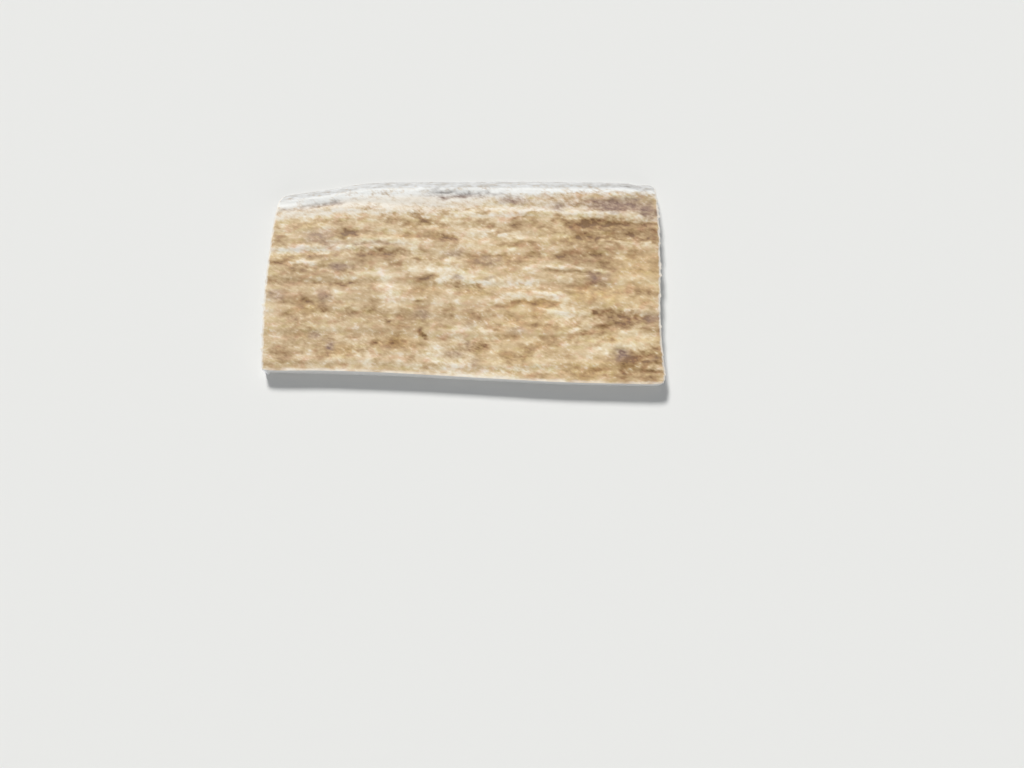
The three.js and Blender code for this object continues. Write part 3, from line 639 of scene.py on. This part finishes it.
def wall_rings(rim, foot, burr):
    """The rings of points down the walls, below the rim. The saw has left them a little rough,
    and the rim's burrs die out down them."""
    along = np.roll(foot, -1, axis=0) - np.roll(foot, 1, axis=0)
    outward = np.stack([along[:, 1], -along[:, 0], 0 * along[:, 0]], -1)
    outward /= np.linalg.norm(outward, axis=1, keepdims=True)
    around = np.cumsum(np.linalg.norm(np.roll(foot, 1, axis=0) - foot, axis=1))
    thickness = rim[:, 2]
    off_flake = np.abs(from_corner(rim) - FLAKE_PLACE)
    flake = FLAKE_WIDTH * np.maximum(0, 1 - off_flake / FLAKE_HALF)
    flake *= np.arange(len(rim)) < COLUMNS
    for step in range(1, WALL_RINGS + 1):
        down = step / WALL_RINGS
        wall = rim * (1 - down) + foot * down
        rough = noise(around / SAW_MARK_LENGTH, wall[:, 2] / SAW_MARK_HEIGHT, 51)
        rough *= SAW_ROUGHNESS * np.minimum(thickness / ROUGH_THICKNESS, 1) * (step < WALL_RINGS)
        wall += outward * rough[:, None]
        wall[:, 0] += burr * (1 - down) ** 3
        wall[:, 1] -= flake * down
        yield wall


def underside(foot, first):
    """A coarse flat grid inside the foot of the walls: its points, and its faces, which take in
    every point of the foot. The foot's points are numbered from first, and the new ones follow."""
    columns = crowded(COLUMNS, COLUMN_CROWDING)[::UNDERSIDE_STEP]
    rows = crowded(ROWS, ROW_CROWDING)[::UNDERSIDE_STEP]
    plan = plan_grid(columns, rows)[1:-1, 1:-1]
    inner = np.concatenate([plan, 0 * plan[..., :1]], -1).reshape(-1, 3)

    across, deep = len(columns) - 1, len(rows) - 1
    place = {position: first + i for i, position in enumerate(rim_loop())}
    after = first + len(foot)

    def stretch(column, row, next_column, next_row):
        """The points from one coarse grid position up to the next, which is left out."""
        if 0 < column < across and 0 < row < deep:
            return [after + (row - 1) * (across - 1) + column - 1]
        start = place[column * UNDERSIDE_STEP, row * UNDERSIDE_STEP]
        on_edge = (column == next_column and column in (0, across)) or (
            row == next_row and row in (0, deep)
        )
        if not on_edge:
            return [start]
        end = place[next_column * UNDERSIDE_STEP, next_row * UNDERSIDE_STEP]
        count = (start - end) % len(foot)
        return [first + (start - first - i) % len(foot) for i in range(count)]

    faces = []
    for row in range(deep):
        for column in range(across):
            corners = [(column, row), (column, row + 1), (column + 1, row + 1), (column + 1, row)]
            face = []
            for here, there in zip(corners, corners[1:] + corners[:1]):
                face += stretch(*here, *there)
            faces.append(face)
    return inner, faces


def slab_mesh():
    """The slab's points and faces, how many of the faces are bark, and the values by point."""
    points, burr, values = bark_sheet()
    loop = rim_loop()
    loop_columns, loop_rows = np.array(loop).T
    rim = points[loop_rows, loop_columns]
    foot = foot_points(rim, loop)
    points[..., 0] += burr
    layers = [points.reshape(-1, 3)]

    corners = np.arange(ROWS)[:, None] * (COLUMNS + 1) + np.arange(COLUMNS)
    faces = np.stack([corners, corners + 1, corners + COLUMNS + 2, corners + COLUMNS + 1], -1)
    faces = faces.reshape(-1, 4).tolist()
    bark_faces = len(faces)

    upper = loop_rows * (COLUMNS + 1) + loop_columns
    first = len(layers[0])
    for wall in wall_rings(rim, foot, burr[loop_rows, loop_columns]):
        lower = first + np.arange(len(loop))
        faces += np.stack([upper, lower, np.roll(lower, -1), np.roll(upper, -1)], -1).tolist()
        layers.append(wall)
        upper, first = lower, first + len(loop)

    # painted highlight: the walls near the front left corner are painted near white for the light on
    # the chipped facet
    pale = 1 - smoothstep(from_corner(rim), *CORNER_HIGHLIGHT_REACH)
    values["corner"] = np.concatenate([np.zeros(len(layers[0])), np.tile(pale, WALL_RINGS)])

    inner, underside_faces = underside(foot, first - len(loop))
    return np.vstack([*layers, inner]), faces + underside_faces, bark_faces, values


def build_slab():
    points, faces, bark_faces, values = slab_mesh()
    mesh = bpy.data.meshes.new("moose_antler_slab")
    mesh.from_pydata(points * MM, [], faces)
    for name, value in values.items():
        padded = np.zeros(len(points), np.float32)
        padded[: value.size] = value.ravel()
        mesh.attributes.new(name, "FLOAT", "POINT").data.foreach_set("value", padded)
    mesh.materials.append(bark_material())
    mesh.materials.append(sawn_material())
    sawn = (np.arange(len(faces)) >= bark_faces).astype(np.int32)
    mesh.polygons.foreach_set("material_index", sawn)
    mesh.shade_smooth()
    mesh.set_sharp_from_angle(angle=math.radians(SHARP_ANGLE))
    slab = bpy.data.objects.new("moose_antler_slab", mesh)
    bpy.context.collection.objects.link(slab)
    return slab


# -------------------- the materials

# A ramp's stops: the value, and the colour's red, green and blue as it looks, 0 to 255.
BARK_COLOURS = [
    (0.0, (124, 93, 62)),
    (0.1, (148, 117, 80)),
    (0.25, (167, 137, 99)),
    (0.42, (188, 161, 123)),
    (0.5, (199, 174, 137)),
    (0.6, (209, 186, 151)),
    (0.75, (221, 204, 174)),
    (0.9, (230, 217, 194)),
    (1.0, (237, 229, 212)),
]
PURPLE_COLOURS = [(0.0, (117, 91, 76)), (0.5, (154, 127, 110)), (1.0, (200, 176, 158))]
GREY_STAIN_COLOURS = [(0.0, (108, 104, 102)), (0.5, (152, 147, 143)), (1.0, (194, 189, 182))]
WHITE_COLOURS = [(0.0, (190, 172, 150)), (0.4, (217, 206, 190)), (1.0, (234, 228, 217))]
CREST_COLOURS = [(0.0, (196, 190, 184)), (0.4, (221, 219, 214)), (1.0, (235, 235, 232))]
SLOPE_COLOURS = [(0.0, (151, 148, 144)), (0.5, (189, 188, 186)), (1.0, (215, 215, 215))]
SAWN_COLOURS = [(0.0, (190, 187, 182)), (0.5, (217, 215, 212)), (1.0, (235, 234, 232))]
# the near white of the painted highlight on the chipped front left corner
CORNER_HIGHLIGHT_COLOUR = (246, 246, 250)
PINK_TINT = (255, 240, 241)
OLIVE_TINT = (246, 247, 228)
GOLD_TINT = (255, 238, 196)
RIM_COLOUR = (230, 224, 214)

BUMP_DEPTH = 0.05
BARK_SPECULAR = 0.35
SAWN_SPECULAR = 0.3
FLOOR_ROUGHNESS = 0.9


def srgb(red, green, blue):
    """A node's colour from the 0 to 255 values of a colour as it looks."""
    levels = (channel / 255 for channel in (red, green, blue))
    linear = (c / 12.92 if c < 0.04045 else ((c + 0.055) / 1.055) ** 2.4 for c in levels)
    return (*linear, 1)


class Nodes:
    """A material's node tree. An input takes a number, a colour, or another node's output."""

    def __init__(self, name):
        self.material = bpy.data.materials.new(name)
        self.material.use_nodes = True
        self.tree = self.material.node_tree
        self.shader = self.tree.nodes["Principled BSDF"]
        self.place = self.add("ShaderNodeTexCoord").outputs["Object"]

    def add(self, kind, inputs=None, **settings):
        node = self.tree.nodes.new(kind)
        for name, value in settings.items():
            setattr(node, name, value)
        self.feed(node, inputs or {})
        return node

    def feed(self, node, inputs):
        for key, value in inputs.items():
            if isinstance(value, bpy.types.NodeSocket):
                self.tree.links.new(value, node.inputs[key])
            else:
                node.inputs[key].default_value = value

    def math(self, operation, first, second=0.0, clamp=False):
        inputs = {0: first, 1: second}
        return self.add("ShaderNodeMath", inputs, operation=operation, use_clamp=clamp).outputs[0]

    def total(self, *terms):
        """The sum of the terms, each a number or a pair of a number and an output it multiplies."""
        result = 0.0
        for term in terms:
            if isinstance(term, tuple):
                term = self.math("MULTIPLY", term[1], term[0])
            result = self.math("ADD", term, result)
        return result

    def value(self, name):
        """A value that the mesh holds for each point."""
        return self.add("ShaderNodeAttribute", attribute_name=name).outputs["Fac"]

    def streaks(self, length, width, turn=0.0, detail=1.0):
        """Noise about zero, in streaks of that length and width in millimetres, turned from X."""
        place = self.add(
            "ShaderNodeMapping",
            {
                "Vector": self.place,
                "Location": (length, width, length + width),
                "Rotation": (0, 0, math.radians(turn)),
                "Scale": (length * MM, width * MM, width * MM),
            },
            vector_type="TEXTURE",
        ).outputs["Vector"]
        noise_node = self.add("ShaderNodeTexNoise", {"Vector": place, "Scale": 1, "Detail": detail})
        return self.math("SUBTRACT", noise_node.outputs["Fac"], 0.5)

    def mix(self, share, low, high, blend="MIX"):
        node = self.add("ShaderNodeMix", data_type="RGBA", blend_type=blend, clamp_factor=True)
        self.feed(node, {0: share, 6: low, 7: high})
        return node.outputs[2]

    def ramp(self, value, stops):
        node = self.add("ShaderNodeValToRGB", {"Fac": value})
        elements = node.color_ramp.elements
        while len(elements) < len(stops):
            elements.new(0.5)
        for element, (position, colour) in zip(elements, stops):
            element.position, element.color = position, srgb(*colour)
        return node.outputs["Color"]

    def surface(self, colour, roughness, height, specular):
        """Feed the shader. A height of 1 is a bump of BUMP_DEPTH millimetres."""
        bump = {"Height": height, "Distance": BUMP_DEPTH * MM, "Strength": 1.0}
        inputs = {
            "Base Color": colour,
            "Roughness": roughness,
            "Specular IOR Level": specular,
            "Normal": self.add("ShaderNodeBump", bump).outputs["Normal"],
        }
        self.feed(self.shader, inputs)
        return self.material


class BarkNodes(Nodes):
    """The bark's noises, from the broadest to the finest, and the layers of its colour."""

    def __init__(self):
        super().__init__("antler bark")
        self.cloud = self.streaks(10, 6.5)
        self.patch = self.streaks(4.5, 3)
        self.fleck = self.streaks(2.1, 1.3, -10)
        self.dab = self.streaks(1.3, 0.6, -30)
        self.grit = self.streaks(0.6, 0.3, -40)
        self.fibre = self.streaks(7, 0.8, -2, 2)
        self.coarse = self.total((1.3, self.fleck), (0.7, self.dab), (0.15, self.grit))

    def broken(self, name, level, share, clamp=False):
        """A value of the mesh, multiplied by a level and a share of the coarse noise."""
        breaking = self.total(level, (share, self.coarse))
        return self.math("MULTIPLY", self.value(name), breaking, clamp)

    def brown(self):
        """The bark's own colour, from dark brown to cream, with pink, olive and golden tints."""
        stain = self.math("MAXIMUM", self.broken("stain", 1.0, -0.7), 0.0)
        worn = self.math("MAXIMUM", self.broken("worn", 1.0, 1.0), 0.0)
        tone = self.total(
            0.53,
            (0.5, self.cloud),
            (0.55, self.patch),
            (0.4, self.fleck),
            (0.24, self.dab),
            (0.1, self.grit),
            (0.1, self.fibre),
            (-0.53, stain),
            (0.37, worn),
            (0.04, self.value("relief")),
            (0.04, self.value("gold")),
        )
        tints = [
            (self.math("MULTIPLY", self.streaks(3.1, 2.1, 10, 2), 4.0, clamp=True), PINK_TINT),
            (self.math("MULTIPLY", self.streaks(3.7, 1.9, -5, 2), 4.0, clamp=True), OLIVE_TINT),
            (self.broken("gold", 0.8, 1.0, clamp=True), GOLD_TINT),
        ]
        colour = self.ramp(tone, BARK_COLOURS)
        for share, tint in tints:
            colour = self.mix(share, colour, srgb(*tint), "MULTIPLY")
        return colour

    def white(self):
        """The worn bark's colour: warm on top, cold at the crest of the back slope, grey on it."""
        tone = self.total(0.6, (0.5, self.fibre), (0.7, self.fleck), (0.6, self.dab))
        warm, cold = self.ramp(tone, WHITE_COLOURS), self.ramp(tone, CREST_COLOURS)
        slope_tone = self.total(
            0.5, (0.9, self.fibre), (0.8, self.patch), (0.8, self.fleck), (0.5, self.dab)
        )
        colour = self.mix(self.value("crest"), warm, cold)
        return self.mix(self.value("slope"), colour, self.ramp(slope_tone, SLOPE_COLOURS))

    def white_share(self):
        """How far the bark is worn white. The stains keep it off."""
        share = self.total(
            self.value("white"),
            -0.5,
            (0.7, self.patch),
            (1.0, self.fleck),
            (0.9, self.dab),
            (0.5, self.grit),
            (-0.3, self.value("stain")),
        )
        return self.math("ADD", self.math("MULTIPLY", share, 1.2), 0.5, clamp=True)

    def purple(self, share):
        """The colour of the purple stains, which are grey where the bark is worn cold."""
        tone = self.total(0.5, (0.7, self.fleck), (0.7, self.dab), (0.4, self.grit), (-0.2, share))
        grey = self.ramp(tone, GREY_STAIN_COLOURS)
        return self.mix(self.value("crest"), self.ramp(tone, PURPLE_COLOURS), grey)


def bark_material():
    n = BarkNodes()
    colour = n.mix(n.white_share(), n.brown(), n.white())
    purple_share = n.broken("purple", 1.0, -0.8, clamp=True)
    colour = n.mix(purple_share, colour, n.purple(purple_share))
    front_rim = n.math("MULTIPLY", n.value("front_rim"), n.total(0.5, (1.5, n.patch)))
    rim = n.math("MAXIMUM", n.value("rim"), front_rim)
    colour = n.mix(rim, colour, srgb(*RIM_COLOUR))

    roughness = n.total(0.62, (0.25, n.fleck), (0.2, n.dab))
    height = n.total((0.7, n.fleck), (0.8, n.dab), (0.8, n.grit), (0.4, n.fibre))
    return n.surface(colour, roughness, height, BARK_SPECULAR)


def sawn_material():
    n = Nodes("sawn antler")
    fibre = n.streaks(9, 0.6, 0, 2)
    pore = n.streaks(0.9, 0.35)
    marrow = n.streaks(24, 7)
    tone = n.total(0.6, (0.7, fibre), (0.5, pore), (0.5, marrow))
    # painted highlight: near-white walls at the chipped front left corner, by the value corner
    colour = n.mix(n.value("corner"), n.ramp(tone, SAWN_COLOURS), srgb(*CORNER_HIGHLIGHT_COLOUR))
    roughness = n.total(0.7, (0.3, pore))
    return n.surface(colour, roughness, n.total(fibre, pore), SAWN_SPECULAR)


# -------------------- the scene

CAMERA_PLACE = (0.01504, -0.15251, 0.3452)
CAMERA_TILT = 19
CAMERA_LENS = 42.19
SENSOR_WIDTH = 36

# The directions are those that the light comes from, and the spreads are in degrees.
KEY_FROM = (-0.22, 0.68, 0.7)
KEY_STRENGTH = 3.3
KEY_SPREAD = 14
KEY_COLOUR = (0.985, 0.985, 0.975)
FILL_FROM = (0.25, -0.93, 0.18)
FILL_STRENGTH = 1.0
FILL_SPREAD = 60
WORLD_COLOUR = (0.9, 0.95, 1.0, 1)
WORLD_STRENGTH = 0.3

FLOOR_SIZE = 6
FLOOR_GAP = 0.00002
FLOOR_COLOUR = (226, 225, 222)


def add_camera():
    camera = bpy.data.cameras.new("camera")
    camera.lens = CAMERA_LENS
    camera.sensor_width = SENSOR_WIDTH
    camera.clip_start, camera.clip_end = 0.01, 50
    holder = bpy.data.objects.new("camera", camera)
    holder.location = CAMERA_PLACE
    holder.rotation_euler = (math.radians(CAMERA_TILT), 0, 0)
    bpy.context.collection.objects.link(holder)
    bpy.context.scene.camera = holder


def add_sun(name, direction, strength, spread, colour=(1, 1, 1)):
    """A soft sun shining from that direction."""
    light = bpy.data.lights.new(name, "SUN")
    light.energy, light.angle, light.color = strength, math.radians(spread), colour
    lamp = bpy.data.objects.new(name, light)
    lamp.rotation_euler = mathutils.Vector(direction).to_track_quat("Z", "Y").to_euler()
    bpy.context.collection.objects.link(lamp)


def add_light():
    add_sun("window", KEY_FROM, KEY_STRENGTH, KEY_SPREAD, KEY_COLOUR)
    add_sun("fill", FILL_FROM, FILL_STRENGTH, FILL_SPREAD)
    world = bpy.data.worlds.new("studio")
    world.use_nodes = True
    background = world.node_tree.nodes["Background"]
    background.inputs["Color"].default_value = WORLD_COLOUR
    background.inputs["Strength"].default_value = WORLD_STRENGTH
    bpy.context.scene.world = world


def add_floor():
    half, below = FLOOR_SIZE / 2, -FLOOR_GAP
    mesh = bpy.data.meshes.new("floor")
    corners = [(-half, -half, below), (half, -half, below), (half, half, below), (-half, half, below)]
    mesh.from_pydata(corners, [], [(0, 1, 2, 3)])
    floor = bpy.data.objects.new("floor", mesh)
    bpy.context.collection.objects.link(floor)
    n = Nodes("pale floor")
    n.feed(n.shader, {"Base Color": srgb(*FLOOR_COLOUR), "Roughness": FLOOR_ROUGHNESS})
    mesh.materials.append(n.material)


# -------------------- the steps in order

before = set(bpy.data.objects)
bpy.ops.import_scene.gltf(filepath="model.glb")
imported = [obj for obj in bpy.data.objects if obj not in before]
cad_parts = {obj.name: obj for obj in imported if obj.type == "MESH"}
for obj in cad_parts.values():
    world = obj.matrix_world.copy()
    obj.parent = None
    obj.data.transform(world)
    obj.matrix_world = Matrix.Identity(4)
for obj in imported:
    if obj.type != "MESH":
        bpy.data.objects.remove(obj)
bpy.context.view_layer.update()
bpy.context.scene.view_settings.view_transform = "Standard"

slab = build_slab()
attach(slab, "root")
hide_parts("antler_slab")

add_camera()
add_light()
add_floor()
